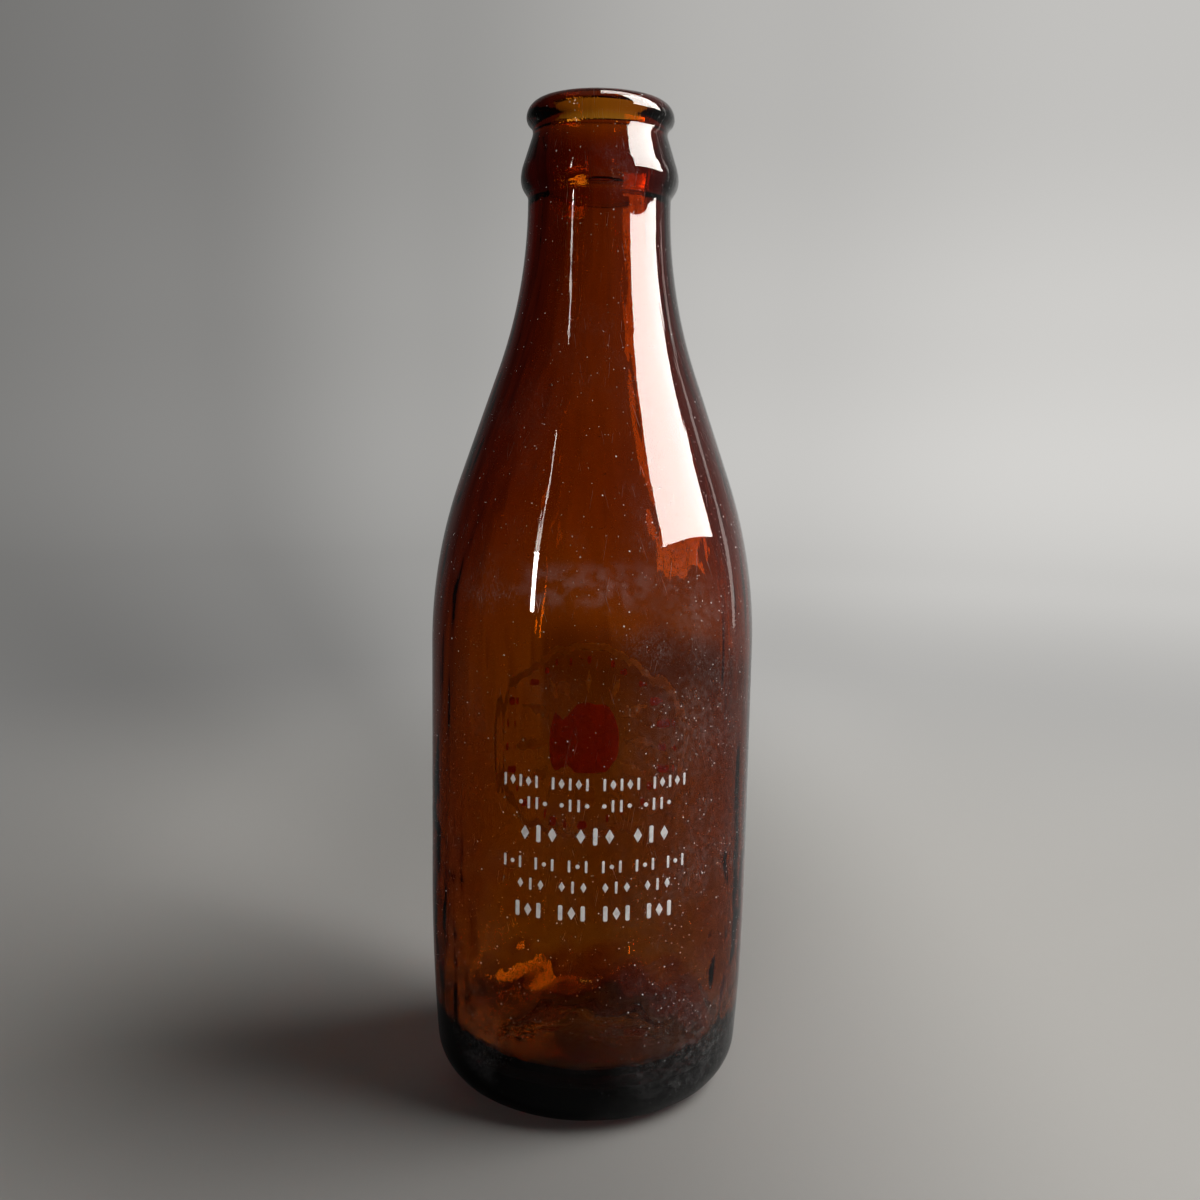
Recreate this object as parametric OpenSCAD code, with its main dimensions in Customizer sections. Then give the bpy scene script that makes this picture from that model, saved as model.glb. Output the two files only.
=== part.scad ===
// Returnable bottle for a crown cork: one hollow amber glass vessel with fired enamel print
// on its back and its front. Millimetres, +Z up, origin at the centre of the bearing ring.
// The back print faces -Y and the front print faces +Y.

/* [Bottle] */
// Height from the bearing ring to the top of the lip
bottle_h = 181; // [165:1:220]
// Diameter of the body
body_d = 60; // [54:1:76]
// Thickness of the body wall
body_wall = 3; // [2:0.1:4.5]

/* [Neck and shoulder] */
// Diameter of the neck just under the finish
neck_d = 25.6; // [24:0.1:27]
// Bore through the finish and the top of the neck
bore_d = 17; // [15:0.1:18]
// Radius of the hollow curve from the neck into the shoulder
flare_r = 91; // [70:1:105]
// Radius of the round curve from the shoulder into the body
shoulder_r = 93; // [70:1:105]
// Slope of the straight stretch between the two curves, in degrees from upright
shoulder_slope = 19.3; // [17:0.1:22]

/* [Finish] */
// Height of the finish, from the crease under the reinforcing ring to the top of the lip
finish_h = 17; // [15:0.1:20]
// Largest diameter of the bead that the crown cork grips
bead_d = 26.5; // [26.2:0.1:27]
// Radius of the bead's upper rounding
bead_r = 2.9; // [2:0.1:3.4]
// Radius of the inner edge of the lip
lip_edge_r = 1; // [0.5:0.1:1.5]
// Diameter at the bottom of the groove under the bead
groove_d = 24.2; // [22:0.1:25]
// Depth of the groove's narrowest place under the top of the lip
groove_drop = 5.4; // [4.6:0.1:6.4]
// Radius at which the groove turns into the cone
groove_r = 3; // [1.5:0.1:4.5]
// Largest diameter of the reinforcing ring
ring_d = 28.3; // [27:0.1:30]
// Depth of the ring's widest place under the top of the lip
ring_drop = 13.3; // [12:0.1:14]
// Radius at which the cone rounds over into the ring
ring_r = 6.8; // [4:0.1:8]

/* [Heel and base] */
// Height at which the body starts to draw in towards the heel
taper_h = 38; // [32:0.5:50]
// Radius of the slow curve by which the body draws in
taper_r = 400; // [300:10:900]
// Radius of the heel curve
heel_r = 9.1; // [7:0.1:14]
// Radius of the rounding into the bearing ring
foot_r = 7; // [3:0.1:9]
// Slope of the wall where the heel curve runs over into that rounding, in degrees from upright
foot_slope = 48.6; // [35:0.1:65]
// Width of the flat bearing ring that the bottle stands on
bearing_w = 2; // [1:0.1:3]
// Radius of the bearing ring's inner rounding
bearing_r = 2; // [1:0.1:3]
// Height of the push-up's crown over the bearing ring
push_up = 4.5; // [3:0.1:6]
// Thickness of the glass at the middle of the base
base_t = 4; // [3:0.1:8]
// Rise of the middle of the inner floor over its rim
floor_rise = 2.5; // [1.5:0.1:4]
// Radius of the corner between the inner floor and the wall
corner_r = 10; // [7:0.5:14]

/* [Print] */
// Thickness of the fired enamel
enamel_t = 0.1; // [0.05:0.01:0.2]
// Turn of the whole print about the bottle's axis, in degrees
print_turn = 2.3; // [0:0.1:10]
// Drop of the first row under the foot of the shoulder
print_drop = 19.3; // [16:0.1:22]
// Distance between a fine row and the row of its kind under it
fine_lead = 3.7; // [3:0.1:4.5]
// Distance between the bold row and the rows on both sides of it
bold_lead = 5.3; // [4.5:0.1:6]
// Distance between the last fine row and the closing row
closing_lead = 4.6; // [4:0.1:5.5]
// Height of the marks in a fine row
fine_mark_h = 2.1; // [1.6:0.1:2.6]
// Height of the marks in the bold row
bold_mark_h = 3; // [2.4:0.1:3.4]
// Height of the marks in the closing row
closing_mark_h = 2.7; // [2:0.1:3]
// Width of a bar's stroke in a fine row
fine_stroke = 0.45; // [0.3:0.05:0.6]
// Width of a bar's stroke in the bold and closing rows
bold_stroke = 0.75; // [0.5:0.05:1]
// Length of the first and fourth rows round the body
long_row_w = 32; // [26:0.5:36]
// Length of the second and fifth rows round the body
short_row_w = 26; // [20:0.5:30]
// Length of the bold row round the body
bold_row_w = 24.4; // [20:0.2:30]
// Length of the closing row round the body
closing_row_w = 27; // [20:0.5:30]

/* [Front emblem] */
// Drop of the emblem's centre under the foot of the shoulder
emblem_drop = 26; // [22:0.5:30]
// Outer diameter of the emblem's ring
emblem_d = 44; // [36:0.5:48]
// Width of the ring
emblem_ring_w = 1.5; // [0.8:0.1:2.5]
// Diameter of the circle on which the dots lie
dot_circle_d = 37; // [30:0.5:40]
// Diameter of a dot
dot_d = 1.7; // [1:0.1:2.5]
// Number of dots
dot_count = 24; // [12:2:32]
// Diameter of the circle that the rays' outer tips touch
ray_circle_d = 33; // [26:0.5:35]
// Length of a ray
ray_l = 6.5; // [4:0.1:7]
// Width of a ray
ray_w = 2.8; // [1.5:0.1:4]
// Number of rays
ray_count = 12; // [8:2:16]
// Diameter of the disc in the middle
disc_d = 16; // [8:0.5:18]

/* [Hidden] */
$fn = 96;

// How far a cutting shape runs past the skin
overrun = 1.5;

// Steps in a wide curve and in a small rounding
wide_steps = 12;
small_steps = 8;

// Radii of the body, the neck, the bore and the inside of the body
body_r = body_d / 2;
neck_r = neck_d / 2;
bore_r = bore_d / 2;
inside_r = body_r - body_wall;

// Heights worked out from the top of the lip down
neck_top = bottle_h - finish_h;
shoulder_h = neck_top - bend_h(body_r - neck_r);
inside_shoulder_h = neck_top - bend_h(inside_r - bore_r);

// Centres of the curves from the body down to the bearing ring, the angles they turn through, and
// the height at which the heel curve starts
taper_angle = asin((taper_h - foot_r - (heel_r - foot_r) * sin(foot_slope)) / (taper_r - heel_r));
taper_c = [body_r - taper_r, taper_h];
heel_c = taper_c + (taper_r - heel_r) * toward(-taper_angle);
heel_h = heel_c.y - heel_r * sin(taper_angle);
foot_c = heel_c + (heel_r - foot_r) * toward(-foot_slope);
bearing_c = [foot_c.x - bearing_w, bearing_r];

// The inner floor: its height in the middle and the centre of its corner
floor_h = push_up + base_t;
corner_c = [inside_r - corner_r, floor_h - floor_rise + corner_r];

// Enamel colours and glass colour
amber = [0.42, 0.15, 0.02, 0.75];
white_enamel = [0.93, 0.92, 0.9];
red_enamel = [0.78, 0.22, 0.06];

// Kinds of mark in a printed row
gap = 0;
bar = 1;
lozenge = 2;
spot = 3;

// The motif of each row, and how many times the row repeats it
row_1_motif = [bar, lozenge, bar, lozenge, bar];
row_2_motif = [spot, bar, bar, spot];
row_3_motif = [lozenge, bar, lozenge];
row_4_motif = [bar, spot, bar];
row_5_motif = [lozenge, bar, lozenge];
row_6_motif = [bar, lozenge, bar];
row_1_copies = 4;
row_2_copies = 4;
row_3_copies = 3;
row_4_copies = 6;
row_5_copies = 4;
row_6_copies = 4;

// Shares of a mark's height: the lozenge's width and height, and the spot's width
lozenge_w_share = 0.5;
lozenge_h_share = 0.86;
spot_share = 0.36;

// A unit vector at an angle
function toward(angle) = [cos(angle), sin(angle)];

// Points along an arc
function arc(centre, radius, from, to, steps) =
    [for (i = [0:steps]) centre + radius * toward(from + (to - from) * i / steps)];

// The same points in the other order
function reversed(points) = [for (i = [len(points) - 1:-1:0]) points[i]];

// Height of the flare, the straight stretch and the shoulder together, for a given step outwards
function bend_h(step) =
    (flare_r + shoulder_r) * sin(shoulder_slope)
    + (step - (flare_r + shoulder_r) * (1 - cos(shoulder_slope))) / tan(shoulder_slope);

// The shoulder and the flare, from the body up to the neck: the straight stretch lies between the arcs
function bend(low_r, low_h, high_r, high_h) = concat(
    arc([low_r - shoulder_r, low_h], shoulder_r, 0, shoulder_slope, wide_steps),
    arc([high_r + flare_r, high_h], flare_r, 180 + shoulder_slope, 180, wide_steps));

// Radius of a dome on the axis that touches a rounding: the rounding's centre lies at distance x
// from the axis and at height y over the dome's crown
function dome_r(x, y, radius) = (x * x + y * y - radius * radius) / (2 * (radius - y));

// A dome from the axis out to a rounding that it touches, with its crown at a given height
function dome(crown_h, centre, radius) =
    let (big_r = dome_r(centre.x, centre.y - crown_h, radius),
        big_c = [0, crown_h - big_r],
        lean = atan2(centre.y - big_c.y, centre.x))
    arc(big_c, big_r, 90, lean, wide_steps);

// Angle at which a rounding meets that dome
function dome_lean(crown_h, centre, radius) =
    let (big_r = dome_r(centre.x, centre.y - crown_h, radius))
    atan2(centre.y - crown_h + big_r, centre.x);

// From a wide upright tangent down to a narrow one by two arcs, the round one first
function tuck(wide, narrow, share) =
    let (dr = wide.x - narrow.x,
        dh = wide.y - narrow.y,
        turn = 2 * atan(dr / dh),
        both_r = dh / sin(turn),
        round_r = both_r * share,
        hollow_r = both_r * (1 - share))
    concat(
        arc([wide.x - round_r, wide.y], round_r, 0, -turn, small_steps),
        arc([narrow.x + hollow_r, narrow.y], hollow_r, 180 - turn, 180, small_steps));

// Slope of a straight line that leaves one arc and enters the other, both upright at their ends
function line_slope(step, drop, both_r) =
    atan2(drop, both_r - step) - acos(both_r / norm([both_r - step, drop]));

// Share of each tuck that is round, the rest being hollow
bead_tuck_share = 0.5;
ring_tuck_share = 0.75;

// The outer side, from the bearing ring up to the foot of the finish
side = concat(
    arc(foot_c, foot_r, -90, -foot_slope, small_steps),
    arc(heel_c, heel_r, -foot_slope, -taper_angle, wide_steps),
    arc(taper_c, taper_r, -taper_angle, 0, small_steps),
    bend(body_r, shoulder_h, neck_r, neck_top));

// The finish, from the crease under the ring up to the top of the lip
ring_wide = [ring_d / 2, bottle_h - ring_drop];
groove_low = [groove_d / 2, bottle_h - groove_drop];
bead_wide = [bead_d / 2, bottle_h - bead_r];
cone_slope = line_slope(ring_wide.x - groove_low.x, groove_low.y - ring_wide.y, ring_r + groove_r);
finish = concat(
    reversed(tuck(ring_wide, [neck_r, neck_top], ring_tuck_share)),
    arc(ring_wide - [ring_r, 0], ring_r, 0, cone_slope, small_steps),
    arc(groove_low + [groove_r, 0], groove_r, 180 + cone_slope, 180, small_steps),
    reversed(tuck(bead_wide, groove_low, bead_tuck_share)),
    arc(bead_wide - [bead_r, 0], bead_r, 0, 90, small_steps));

// The inside, from the lip down to the middle of the floor
inside = concat(
    arc([bore_r + lip_edge_r, bottle_h - lip_edge_r], lip_edge_r, 90, 180, small_steps),
    reversed(bend(inside_r, inside_shoulder_h, bore_r, neck_top)),
    arc(corner_c, corner_r, 0, dome_lean(floor_h, corner_c, corner_r) - 180, wide_steps),
    reversed(dome(floor_h, corner_c, corner_r)));

// The underside, from the middle of the push-up out to the bearing ring
underside = concat(
    dome(push_up, bearing_c, bearing_r),
    arc(bearing_c, bearing_r, dome_lean(push_up, bearing_c, bearing_r) - 180, -90, small_steps));

// Distance under which two points count as one, as a share of the enamel's thickness
same_place_share = 0.05;

// The points without those that fall on the place of the one before
function tidied(points) = [for (i = [0:len(points) - 1])
    if (i == 0 || norm(points[i] - points[i - 1]) > enamel_t * same_place_share) points[i]];

// The skin in which the enamel lies, just outside the glass, over a stretch of height
module enamel_skin(middle_h, reach) {
    wall = [for (p = side) if (p.y > heel_h) p];
    outer = [for (p = wall) p + [enamel_t, 0]];
    rotate_extrude() intersection() {
        polygon(tidied(concat(wall, reversed(outer))));
        translate([0, middle_h - reach]) square([body_d, 2 * reach]);
    }
}

// One printed mark of a kind, upright and centred on the origin
module mark(kind, height, stroke) {
    if (kind == bar) square([stroke, height], center = true);
    if (kind == lozenge) {
        half = [height * lozenge_w_share, height * lozenge_h_share] / 2;
        polygon([[half.x, 0], [0, half.y], [-half.x, 0], [0, -half.y]]);
    }
    if (kind == spot) circle(d = height * spot_share);
}

// A flat outline pushed outwards through the skin on the side that faces -Y
module through_skin(from_r) {
    rotate([90, 0, 0]) translate([0, 0, from_r]) linear_extrude(body_r + overrun - from_r) children();
}

// A row of marks round the back: the motif repeats, with a gap between its copies
module back_row(motif, copies, width, height, stroke, row_h) {
    cells = [for (c = [1:copies]) for (k = concat(motif, [gap])) k];
    last = len(cells) - 2;
    pitch = width / last / body_r * 180 / PI;
    color(white_enamel) intersection() {
        enamel_skin(row_h, height);
        for (i = [0:last]) if (cells[i] != gap)
            rotate([0, 0, print_turn + (i - last / 2) * pitch]) translate([0, 0, row_h])
                through_skin(body_r - overrun) mark(cells[i], height, stroke);
    }
}

// Heights of the rows, each worked out from the one above it
row_1_h = shoulder_h - print_drop;
row_2_h = row_1_h - fine_lead;
row_3_h = row_2_h - bold_lead;
row_4_h = row_3_h - bold_lead;
row_5_h = row_4_h - fine_lead;
row_6_h = row_5_h - closing_lead;

// Part of the front emblem, drawn flat about its centre
module front_print(shade) {
    middle_h = shoulder_h - emblem_drop;
    color(shade) intersection() {
        enamel_skin(middle_h, emblem_d / 2 + overrun);
        rotate([0, 0, print_turn + 180]) translate([0, 0, middle_h]) through_skin(0) children();
    }
}

// Copies of a flat outline round a circle
module round_circle(count, radius) {
    for (i = [0:count - 1]) rotate(i * 360 / count) translate([0, radius]) children();
}

module glass_bottle() {
    color(amber) rotate_extrude() polygon(tidied(concat(underside, side, finish, inside)));
}

module back_row_1()
    back_row(row_1_motif, row_1_copies, long_row_w, fine_mark_h, fine_stroke, row_1_h);

module back_row_2()
    back_row(row_2_motif, row_2_copies, short_row_w, fine_mark_h, fine_stroke, row_2_h);

module back_row_3()
    back_row(row_3_motif, row_3_copies, bold_row_w, bold_mark_h, bold_stroke, row_3_h);

module back_row_4()
    back_row(row_4_motif, row_4_copies, long_row_w, fine_mark_h, fine_stroke, row_4_h);

module back_row_5()
    back_row(row_5_motif, row_5_copies, short_row_w, fine_mark_h, fine_stroke, row_5_h);

module back_row_6()
    back_row(row_6_motif, row_6_copies, closing_row_w, closing_mark_h, bold_stroke, row_6_h);

module front_ring() front_print(white_enamel) difference() {
    circle(d = emblem_d);
    circle(d = emblem_d - 2 * emblem_ring_w);
}

module front_dots() front_print(red_enamel) round_circle(dot_count, dot_circle_d / 2)
    circle(d = dot_d);

module front_rays() front_print(white_enamel) round_circle(ray_count, (ray_circle_d - ray_l) / 2)
    polygon([[ray_w / 2, 0], [0, ray_l / 2], [-ray_w / 2, 0], [0, -ray_l / 2]]);

module front_disc() front_print(red_enamel) circle(d = disc_d);

glass_bottle();
back_row_1();
back_row_2();
back_row_3();
back_row_4();
back_row_5();
back_row_6();
front_ring();
front_dots();
front_rays();
front_disc();
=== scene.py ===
"""Looks for a small amber glass bottle with fired enamel print: glass drawn as a lathe profile
and spun, printed marks laid on it, and a pale studio sweep with soft light and painted light and shade."""

import math

import bpy
from mathutils import Matrix, Vector


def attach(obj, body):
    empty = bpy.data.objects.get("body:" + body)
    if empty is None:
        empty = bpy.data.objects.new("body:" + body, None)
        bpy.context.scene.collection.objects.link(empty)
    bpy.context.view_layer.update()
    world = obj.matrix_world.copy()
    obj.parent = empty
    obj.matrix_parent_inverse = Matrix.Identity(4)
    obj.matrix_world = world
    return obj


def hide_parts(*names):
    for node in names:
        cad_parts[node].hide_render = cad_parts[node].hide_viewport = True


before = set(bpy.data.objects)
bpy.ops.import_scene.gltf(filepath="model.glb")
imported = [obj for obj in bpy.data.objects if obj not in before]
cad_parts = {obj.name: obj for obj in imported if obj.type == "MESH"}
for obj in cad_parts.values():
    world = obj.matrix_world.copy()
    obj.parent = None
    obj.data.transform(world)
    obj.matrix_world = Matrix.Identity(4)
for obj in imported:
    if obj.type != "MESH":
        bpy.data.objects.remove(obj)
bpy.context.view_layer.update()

# All lengths below are in millimetres and are turned into metres by this.
MM = 0.001

# Vessel: heights and radii of the drawn outline
bottle_h = 181.0
body_r = 30.0
body_wall = 3.0
neck_r = 12.8
bore_r = 8.5
flare_r = 91.0
shoulder_r = 93.0
shoulder_slope = 19.3
finish_h = 17.0
bead_wide_r = 13.25
bead_r = 2.9
lip_edge_r = 1.0
groove_low_r = 12.1
groove_drop = 5.4
groove_r = 3.0
ring_wide_r = 14.15
ring_drop = 13.3
ring_r = 6.8
bead_tuck_share = 0.5
ring_tuck_share = 0.75
taper_h = 38.0
taper_r = 400.0
heel_r = 9.1
foot_r = 7.0
foot_slope = 48.6
bearing_w = 2.0
bearing_r = 2.0
push_up = 4.5
base_t = 4.0
floor_rise = 2.5
corner_r = 10.0
turns = 240
seam_w = 0.32
seam_out = 0.06
neck_line_h = 165.1
foot_line_h = 2.2
knurl_in = 0.12
knurl_edge = 0.1
chip_across = 3.0
chip_half_w = 2.3
chip_h = 1.1
chip_edge = 0.4
chip_core_share = 0.6
chip_in = 0.25
chip_up = 0.3

# Uneven inner wall: size of a wave, how many times taller than wide it is, strength, and height it goes up to
unevenness = (
    ("slow waves", 14.0, 2.2, 0.55, bottle_h),
    ("streaks", 2.0, 14.0, 0.22, bottle_h),
    ("low ripples", 4.2, 0.8, 0.68, 60.0),
)
uneven_fade = 14.0
ripples_start_h = 11.0
ripples_full_h = 21.0

# Print: heights, sizes and lengths of the rows of marks
enamel_t = 0.1
enamel_sink = 0.02
print_turn = 2.3
print_drop = 19.3
fine_lead = 3.7
bold_lead = 5.3
closing_lead = 4.6
fine_mark_h = 2.1
bold_mark_h = 3.0
closing_mark_h = 2.7
fine_stroke = 0.45
bold_stroke = 0.75
long_row_w = 32.0
short_row_w = 26.0
bold_row_w = 24.4
closing_row_w = 27.0
lozenge_w_share = 0.5
lozenge_h_share = 0.86
spot_share = 0.36
bar_corner = 0.14
lozenge_corner = 0.08
brow_in = 0.04
brow_top_in = 0.05

# Front emblem
emblem_drop = 26.0
emblem_r = 22.0
emblem_ring_w = 1.5
dot_circle_r = 18.5
dot_r = 0.85
dot_count = 24
ray_circle_r = 16.5
ray_l = 6.5
ray_w = 2.8
ray_count = 12
disc_r = 8.0
emblem_rise = 0.02
emblem_t = 0.07
emblem_brow = 0.02
disc_inner_share = 0.75
disc_middle_share = 0.04

# How near a point lies to a line, a level or a wall to belong to it
same_point = 0.004
on_line = 0.01
near_level = 0.05
under_floor = 0.5
outer_skin = 0.6
inner_clear = 1.6
step_slack = 0.001

# Edges that turn by more degrees than this stay sharp, or get a brow
glass_sharp = 40
print_sharp = 50
brow_sharp = 60


def deselect_all():
    """Leaves object mode with nothing selected."""
    if bpy.context.object and bpy.context.object.mode != "OBJECT":
        bpy.ops.object.mode_set(mode="OBJECT")
    bpy.ops.object.select_all(action="DESELECT")


def take_up(piece):
    """Makes one piece the only one selected, and the active one."""
    deselect_all()
    piece.select_set(True)
    bpy.context.view_layer.objects.active = piece


def name_piece(name):
    """Names the active piece and its mesh."""
    piece = bpy.context.object
    piece.name = piece.data.name = name
    return piece


def pick(piece, element, test):
    """Selects the vertices, edges or faces of a piece that pass a test, and goes into edit mode. An edge passes
    where both its ends do, and a face where its middle does."""
    take_up(piece)
    bpy.ops.object.mode_set(mode="EDIT")
    bpy.ops.mesh.select_mode(type=element)
    bpy.ops.mesh.select_all(action="DESELECT")
    bpy.ops.object.mode_set(mode="OBJECT")
    mesh = piece.data
    if element == "VERT":
        for v in mesh.vertices:
            v.select = test(v.co)
    if element == "EDGE":
        for e in mesh.edges:
            a, b = (mesh.vertices[i].co for i in e.vertices)
            e.select = test(a) and test(b)
    if element == "FACE":
        for f in mesh.polygons:
            f.select = test(f.center)
    bpy.ops.object.mode_set(mode="EDIT")


def apply_all(piece):
    """Applies every modifier of a piece, in order."""
    take_up(piece)
    for m in list(piece.modifiers):
        bpy.ops.object.modifier_apply(modifier=m.name)


# Lathe profile: a pen that draws lines and arcs in the plane of X and Z

def pen_down(name, r, z):
    """Starts a piece as a single point."""
    deselect_all()
    bpy.ops.mesh.primitive_plane_add(size=MM, location=(0, 0, 0))
    piece = name_piece(name)
    bpy.ops.object.mode_set(mode="EDIT")
    bpy.ops.mesh.select_mode(type="VERT")
    bpy.ops.mesh.select_all(action="SELECT")
    bpy.ops.mesh.merge(type="CENTER")
    bpy.ops.transform.translate(value=(r * MM, 0, z * MM))
    piece["pen"] = (r, z)
    return piece


def pen_line(piece, r, z, steps):
    """A straight line from the pen to a place."""
    r0, z0 = piece["pen"]
    step = ((r - r0) / steps * MM, 0, (z - z0) / steps * MM)
    for _ in range(steps):
        bpy.ops.mesh.extrude_region_move(TRANSFORM_OT_translate={"value": step})
    piece["pen"] = (r, z)


def pen_arc(piece, centre, degrees, steps):
    """An arc about a centre, anticlockwise where degrees is above zero."""
    r0, z0 = piece["pen"]
    a = math.radians(degrees)
    bpy.ops.mesh.spin(
        steps=steps, dupli=False, angle=abs(a), center=(centre[0] * MM, 0, centre[1] * MM),
        axis=(0, math.copysign(1, a), 0))
    dr, dz = r0 - centre[0], z0 - centre[1]
    piece["pen"] = (
        centre[0] + dr * math.cos(a) - dz * math.sin(a),
        centre[1] + dr * math.sin(a) + dz * math.cos(a))


def tuck_up(piece, narrow, wide, share, steps):
    """From a narrow upright tangent up to a wide one, by a hollow arc and a round one."""
    dr, dz = wide[0] - narrow[0], wide[1] - narrow[1]
    turn = 2 * math.atan(dr / dz)
    both_r = dz / math.sin(turn)
    pen_arc(piece, (narrow[0] + both_r * (1 - share), narrow[1]), -math.degrees(turn), steps)
    pen_arc(piece, (wide[0] - both_r * share, wide[1]), math.degrees(turn), steps)


def toward(degrees, length):
    """A step of a length in a direction, as radius and height."""
    a = math.radians(degrees)
    return Vector((length * math.cos(a), length * math.sin(a)))


def bend_h(step):
    """Height of the flare, the straight stretch and the shoulder together, for a given step outwards."""
    a = math.radians(shoulder_slope)
    both_r = flare_r + shoulder_r
    return both_r * math.sin(a) + (step - both_r * (1 - math.cos(a))) / math.tan(a)


def dome_of(crown_h, centre, radius):
    """Centre and radius of a dome on the axis that touches a rounding, and the angle where they meet."""
    x, y = centre[0], centre[1] - crown_h
    big_r = (x * x + y * y - radius * radius) / (2 * (radius - y))
    return (0, crown_h - big_r), math.degrees(math.atan2(y + big_r, x))


neck_top = bottle_h - finish_h
inside_r = body_r - body_wall
shoulder_h = neck_top - bend_h(body_r - neck_r)
inside_shoulder_h = neck_top - bend_h(inside_r - bore_r)
taper_drop = taper_h - foot_r - (heel_r - foot_r) * math.sin(math.radians(foot_slope))
taper_angle = math.degrees(math.asin(taper_drop / (taper_r - heel_r)))
taper_c = Vector((body_r - taper_r, taper_h))
heel_c = taper_c + toward(-taper_angle, taper_r - heel_r)
heel_h = heel_c.y - heel_r * math.sin(math.radians(taper_angle))
foot_c = heel_c + toward(-foot_slope, heel_r - foot_r)
foot_top = foot_c.y - foot_r * math.sin(math.radians(foot_slope))
bearing_c = (foot_c.x - bearing_w, bearing_r)
floor_h = push_up + base_t
corner_c = (inside_r - corner_r, floor_h - floor_rise + corner_r)


def spin_round(steps, near, inside):
    """Spins the drawn profile right round the axis, closes it and turns its faces inwards or outwards."""
    bpy.ops.mesh.select_all(action="SELECT")
    bpy.ops.mesh.spin(steps=steps, dupli=False, angle=2 * math.pi, center=(0, 0, 0), axis=(0, 0, 1))
    bpy.ops.mesh.select_all(action="SELECT")
    bpy.ops.mesh.remove_doubles(threshold=near * MM)
    bpy.ops.mesh.normals_make_consistent(inside=inside)
    bpy.ops.object.mode_set(mode="OBJECT")


def draw_glass():
    """The whole section of the vessel, from the push-up round the outside to the lip and down to the floor,
    spun round the axis."""
    p = pen_down("bottle_glass", 0, push_up)
    dome_c, lean = dome_of(push_up, bearing_c, bearing_r)
    pen_arc(p, dome_c, lean - 90, 14)
    pen_arc(p, bearing_c, 90 - lean, 6)
    pen_line(p, foot_c.x, 0, 2)
    pen_arc(p, foot_c, 90 - foot_slope, 8)
    pen_arc(p, heel_c, foot_slope - taper_angle, 12)
    pen_arc(p, taper_c, taper_angle, 16)
    pen_line(p, body_r, shoulder_h, 20)
    pen_arc(p, (body_r - shoulder_r, shoulder_h), shoulder_slope, 20)
    start = Vector((neck_r + flare_r, neck_top)) + toward(180 + shoulder_slope, flare_r)
    pen_line(p, start.x, start.y, 10)
    pen_arc(p, (neck_r + flare_r, neck_top), -shoulder_slope, 20)
    ring_wide = (ring_wide_r, bottle_h - ring_drop)
    groove_low = (groove_low_r, bottle_h - groove_drop)
    tuck_up(p, (neck_r, neck_top), ring_wide, ring_tuck_share, 6)
    both_r = ring_r + groove_r
    lie = (both_r - (ring_wide[0] - groove_low[0]), groove_low[1] - ring_wide[1])
    cone_slope = math.degrees(math.atan2(lie[1], lie[0]) - math.acos(both_r / math.hypot(*lie)))
    pen_arc(p, (ring_wide[0] - ring_r, ring_wide[1]), cone_slope, 5)
    start = Vector((groove_low[0] + groove_r, groove_low[1])) + toward(180 + cone_slope, groove_r)
    pen_line(p, start.x, start.y, 4)
    pen_arc(p, (groove_low[0] + groove_r, groove_low[1]), -cone_slope, 4)
    tuck_up(p, groove_low, (bead_wide_r, bottle_h - bead_r), bead_tuck_share, 5)
    pen_arc(p, (bead_wide_r - bead_r, bottle_h - bead_r), 90, 12)
    pen_line(p, bore_r + lip_edge_r, bottle_h, 1)
    pen_arc(p, (bore_r + lip_edge_r, bottle_h - lip_edge_r), 90, 6)
    pen_line(p, bore_r, neck_top, 10)
    pen_arc(p, (bore_r + flare_r, neck_top), shoulder_slope, 22)
    start = Vector((inside_r - shoulder_r, inside_shoulder_h)) + toward(shoulder_slope, shoulder_r)
    pen_line(p, start.x, start.y, 14)
    pen_arc(p, (inside_r - shoulder_r, inside_shoulder_h), -shoulder_slope, 22)
    pen_line(p, inside_r, corner_c[1], 36)
    dome_c, lean = dome_of(floor_h, corner_c, corner_r)
    pen_arc(p, corner_c, lean - 180, 16)
    pen_arc(p, dome_c, 90 - lean, 10)
    spin_round(turns, same_point, False)
    return p


def is_inside_wall(co):
    """True for a point of the inner wall well clear of the lip and of the outer wall."""
    z = co.z / MM
    r = math.hypot(co.x, co.y) / MM
    if z < floor_h - floor_rise - under_floor or z > bottle_h - 2 * lip_edge_r:
        return False
    return r < outer_r(z) - inner_clear


def outer_r(z):
    """Radius of the outer wall at a height, with the finish taken as plain neck."""
    if z < foot_top:
        return foot_c.x + math.sqrt(max(foot_r ** 2 - (foot_r - z) ** 2, 0))
    if z < heel_h:
        return heel_c.x + math.sqrt(max(heel_r ** 2 - (heel_c.y - z) ** 2, 0))
    if z < taper_h:
        return body_r - taper_r + math.sqrt(taper_r ** 2 - (taper_h - z) ** 2)
    if z < shoulder_h:
        return body_r
    high = Vector((body_r - shoulder_r, shoulder_h)) + toward(shoulder_slope, shoulder_r)
    low = Vector((neck_r + flare_r, neck_top)) + toward(180 + shoulder_slope, flare_r)
    if z < high.y:
        return body_r - shoulder_r + math.sqrt(shoulder_r ** 2 - (z - shoulder_h) ** 2)
    if z < low.y:
        return high.x + (low.x - high.x) * (z - high.y) / (low.y - high.y)
    if z < neck_top:
        return neck_r + flare_r - math.sqrt(flare_r ** 2 - (neck_top - z) ** 2)
    return neck_r


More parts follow.
